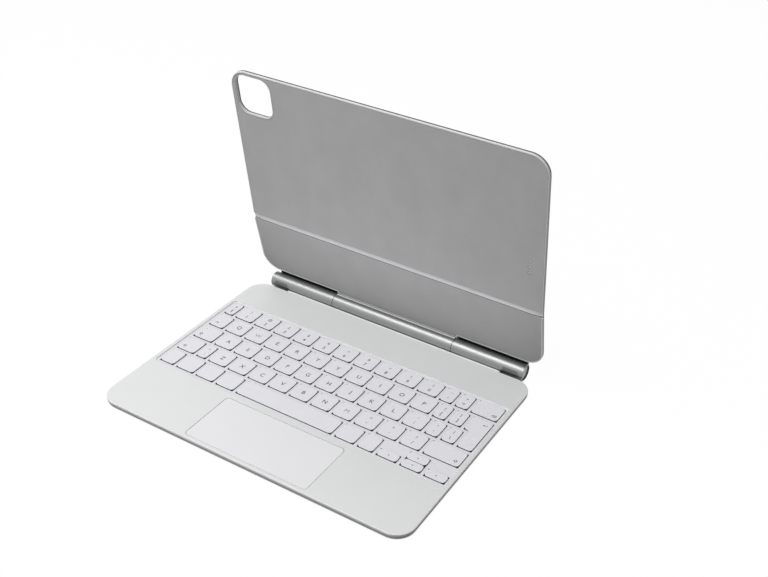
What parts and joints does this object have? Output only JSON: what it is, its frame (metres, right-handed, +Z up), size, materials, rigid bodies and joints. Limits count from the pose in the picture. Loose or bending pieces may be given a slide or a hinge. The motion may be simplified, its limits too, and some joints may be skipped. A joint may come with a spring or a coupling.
{
  "type": "tablet keyboard case",
  "caption": "Folding keyboard case for a slim tablet: thin base with keys and trackpad, hinge barrel, and a two-panel lid with a camera window and magnetic contacts.",
  "frame": {"origin": "centre of the base's underside", "axes": "+X to the right along the keys, +Y from the front edge to the hinge, +Z up from the underside"},
  "size_m": [0.25, 0.1962, 0.1938],
  "materials": {
    "cover_white": "matte moulded",
    "key_white": "satin",
    "frame_plastic": "moulded",
    "plate_steel": "plain",
    "dome_rubber": "matte",
    "link_plastic": "moulded",
    "trackpad_glass": "satin etched",
    "board_green": "solder mask",
    "barrel_aluminium": "satin anodised",
    "port_steel": "drawn",
    "core_board": "fibre board",
    "liner_grey": "fine microfibre",
    "magnet_nickel": "nickel plated",
    "contact_silver": "polished"
  },
  "bodies": {
    "base": {"base_skin": "cover_white", "base_frame": "frame_plastic", "deck_skin": "barrel_aluminium", "key_web": "key_white", "key_backplate": "plate_steel", "rubber_domes": "dome_rubber", "scissor_links": "link_plastic", "trackpad_switch": "link_plastic", "controller_board": "board_green", "hinge_brackets": "plate_steel", "hinge_screws": "plate_steel", "outer_barrels": "barrel_aluminium", "end_caps": "barrel_aluminium", "charging_port": "port_steel", "hinge_shafts": "plate_steel"},
    "lower_lid": {"centre_barrel": "barrel_aluminium", "friction_clips": "plate_steel", "lid_bracket": "plate_steel", "lower_back_skin": "cover_white", "lower_core": "core_board", "lower_liner": "liner_grey", "crease_strip": "cover_white"},
    "upper_lid": {"upper_back_skin": "cover_white", "upper_core": "core_board", "upper_liner": "liner_grey", "tablet_magnets": "magnet_nickel", "contact_pins": "contact_silver"},
    "trackpad": {"trackpad_plate": "trackpad_glass"},
    "key_q": {"key_q": "key_white"},
    "key_w": {"key_w": "key_white"},
    "key_e": {"key_e": "key_white"},
    "key_r": {"key_r": "key_white"},
    "key_t": {"key_t": "key_white"},
    "key_y": {"key_y": "key_white"},
    "key_u": {"key_u": "key_white"},
    "key_i": {"key_i": "key_white"},
    "key_o": {"key_o": "key_white"},
    "key_p": {"key_p": "key_white"},
    "key_a": {"key_a": "key_white"},
    "key_s": {"key_s": "key_white"},
    "key_d": {"key_d": "key_white"},
    "key_f": {"key_f": "key_white"},
    "key_g": {"key_g": "key_white"},
    "key_h": {"key_h": "key_white"},
    "key_j": {"key_j": "key_white"},
    "key_k": {"key_k": "key_white"},
    "key_l": {"key_l": "key_white"},
    "key_z": {"key_z": "key_white"},
    "key_x": {"key_x": "key_white"},
    "key_c": {"key_c": "key_white"},
    "key_v": {"key_v": "key_white"},
    "key_b": {"key_b": "key_white"},
    "key_n": {"key_n": "key_white"},
    "key_m": {"key_m": "key_white"},
    "space_bar": {"space_bar": "key_white"},
    "enter_key": {"enter_key": "key_white"},
    "number_row_keys": {"number_row_keys": "key_white"},
    "punctuation_keys": {"punctuation_keys": "key_white"},
    "modifier_keys": {"modifier_keys": "key_white"},
    "arrow_keys": {"arrow_keys": "key_white"}
  },
  "joints": [
    {"name": "lid_hinge", "type": "hinge", "parent": "base", "child": "lower_lid", "pos_m": [0, 0.09754, 0.0062], "axis": [1, 0, 0], "range_deg": [-25, 76.8]},
    {"name": "fold_hinge", "type": "hinge", "parent": "lower_lid", "child": "upper_lid", "pos_m": [0, 0.09098, 0.0668], "axis": [1, 0, 0], "range_deg": [-35, 4.6]},
    {"name": "trackpad_press", "type": "slide", "parent": "base", "child": "trackpad", "axis": [0, 0, -1], "range_m": [0, 0.00025], "stiffness_N_per_m": 2400, "springref_m": -0.00025},
    {"name": "press_key_q", "type": "slide", "parent": "base", "child": "key_q", "axis": [0, 0, -1], "range_m": [0, 0.001], "stiffness_N_per_m": 400, "springref_m": -0.0005},
    {"name": "press_key_w", "type": "slide", "parent": "base", "child": "key_w", "axis": [0, 0, -1], "range_m": [0, 0.001], "stiffness_N_per_m": 400, "springref_m": -0.0005},
    {"name": "press_key_e", "type": "slide", "parent": "base", "child": "key_e", "axis": [0, 0, -1], "range_m": [0, 0.001], "stiffness_N_per_m": 400, "springref_m": -0.0005},
    {"name": "press_key_r", "type": "slide", "parent": "base", "child": "key_r", "axis": [0, 0, -1], "range_m": [0, 0.001], "stiffness_N_per_m": 400, "springref_m": -0.0005},
    {"name": "press_key_t", "type": "slide", "parent": "base", "child": "key_t", "axis": [0, 0, -1], "range_m": [0, 0.001], "stiffness_N_per_m": 400, "springref_m": -0.0005},
    {"name": "press_key_y", "type": "slide", "parent": "base", "child": "key_y", "axis": [0, 0, -1], "range_m": [0, 0.001], "stiffness_N_per_m": 400, "springref_m": -0.0005},
    {"name": "press_key_u", "type": "slide", "parent": "base", "child": "key_u", "axis": [0, 0, -1], "range_m": [0, 0.001], "stiffness_N_per_m": 400, "springref_m": -0.0005},
    {"name": "press_key_i", "type": "slide", "parent": "base", "child": "key_i", "axis": [0, 0, -1], "range_m": [0, 0.001], "stiffness_N_per_m": 400, "springref_m": -0.0005},
    {"name": "press_key_o", "type": "slide", "parent": "base", "child": "key_o", "axis": [0, 0, -1], "range_m": [0, 0.001], "stiffness_N_per_m": 400, "springref_m": -0.0005},
    {"name": "press_key_p", "type": "slide", "parent": "base", "child": "key_p", "axis": [0, 0, -1], "range_m": [0, 0.001], "stiffness_N_per_m": 400, "springref_m": -0.0005},
    {"name": "press_key_a", "type": "slide", "parent": "base", "child": "key_a", "axis": [0, 0, -1], "range_m": [0, 0.001], "stiffness_N_per_m": 400, "springref_m": -0.0005},
    {"name": "press_key_s", "type": "slide", "parent": "base", "child": "key_s", "axis": [0, 0, -1], "range_m": [0, 0.001], "stiffness_N_per_m": 400, "springref_m": -0.0005},
    {"name": "press_key_d", "type": "slide", "parent": "base", "child": "key_d", "axis": [0, 0, -1], "range_m": [0, 0.001], "stiffness_N_per_m": 400, "springref_m": -0.0005},
    {"name": "press_key_f", "type": "slide", "parent": "base", "child": "key_f", "axis": [0, 0, -1], "range_m": [0, 0.001], "stiffness_N_per_m": 400, "springref_m": -0.0005},
    {"name": "press_key_g", "type": "slide", "parent": "base", "child": "key_g", "axis": [0, 0, -1], "range_m": [0, 0.001], "stiffness_N_per_m": 400, "springref_m": -0.0005},
    {"name": "press_key_h", "type": "slide", "parent": "base", "child": "key_h", "axis": [0, 0, -1], "range_m": [0, 0.001], "stiffness_N_per_m": 400, "springref_m": -0.0005},
    {"name": "press_key_j", "type": "slide", "parent": "base", "child": "key_j", "axis": [0, 0, -1], "range_m": [0, 0.001], "stiffness_N_per_m": 400, "springref_m": -0.0005},
    {"name": "press_key_k", "type": "slide", "parent": "base", "child": "key_k", "axis": [0, 0, -1], "range_m": [0, 0.001], "stiffness_N_per_m": 400, "springref_m": -0.0005},
    {"name": "press_key_l", "type": "slide", "parent": "base", "child": "key_l", "axis": [0, 0, -1], "range_m": [0, 0.001], "stiffness_N_per_m": 400, "springref_m": -0.0005},
    {"name": "press_key_z", "type": "slide", "parent": "base", "child": "key_z", "axis": [0, 0, -1], "range_m": [0, 0.001], "stiffness_N_per_m": 400, "springref_m": -0.0005},
    {"name": "press_key_x", "type": "slide", "parent": "base", "child": "key_x", "axis": [0, 0, -1], "range_m": [0, 0.001], "stiffness_N_per_m": 400, "springref_m": -0.0005},
    {"name": "press_key_c", "type": "slide", "parent": "base", "child": "key_c", "axis": [0, 0, -1], "range_m": [0, 0.001], "stiffness_N_per_m": 400, "springref_m": -0.0005},
    {"name": "press_key_v", "type": "slide", "parent": "base", "child": "key_v", "axis": [0, 0, -1], "range_m": [0, 0.001], "stiffness_N_per_m": 400, "springref_m": -0.0005},
    {"name": "press_key_b", "type": "slide", "parent": "base", "child": "key_b", "axis": [0, 0, -1], "range_m": [0, 0.001], "stiffness_N_per_m": 400, "springref_m": -0.0005},
    {"name": "press_key_n", "type": "slide", "parent": "base", "child": "key_n", "axis": [0, 0, -1], "range_m": [0, 0.001], "stiffness_N_per_m": 400, "springref_m": -0.0005},
    {"name": "press_key_m", "type": "slide", "parent": "base", "child": "key_m", "axis": [0, 0, -1], "range_m": [0, 0.001], "stiffness_N_per_m": 400, "springref_m": -0.0005},
    {"name": "press_space_bar", "type": "slide", "parent": "base", "child": "space_bar", "axis": [0, 0, -1], "range_m": [0, 0.001], "stiffness_N_per_m": 400, "springref_m": -0.0005},
    {"name": "press_enter_key", "type": "slide", "parent": "base", "child": "enter_key", "axis": [0, 0, -1], "range_m": [0, 0.001], "stiffness_N_per_m": 400, "springref_m": -0.0005},
    {"name": "press_number_row_keys", "type": "slide", "parent": "base", "child": "number_row_keys", "axis": [0, 0, -1], "range_m": [0, 0.001], "stiffness_N_per_m": 5600, "springref_m": -0.0005},
    {"name": "press_punctuation_keys", "type": "slide", "parent": "base", "child": "punctuation_keys", "axis": [0, 0, -1], "range_m": [0, 0.001], "stiffness_N_per_m": 3600, "springref_m": -0.0005},
    {"name": "press_modifier_keys", "type": "slide", "parent": "base", "child": "modifier_keys", "axis": [0, 0, -1], "range_m": [0, 0.001], "stiffness_N_per_m": 4000, "springref_m": -0.0005},
    {"name": "press_arrow_keys", "type": "slide", "parent": "base", "child": "arrow_keys", "axis": [0, 0, -1], "range_m": [0, 0.001], "stiffness_N_per_m": 1600, "springref_m": -0.0005}
  ]
}
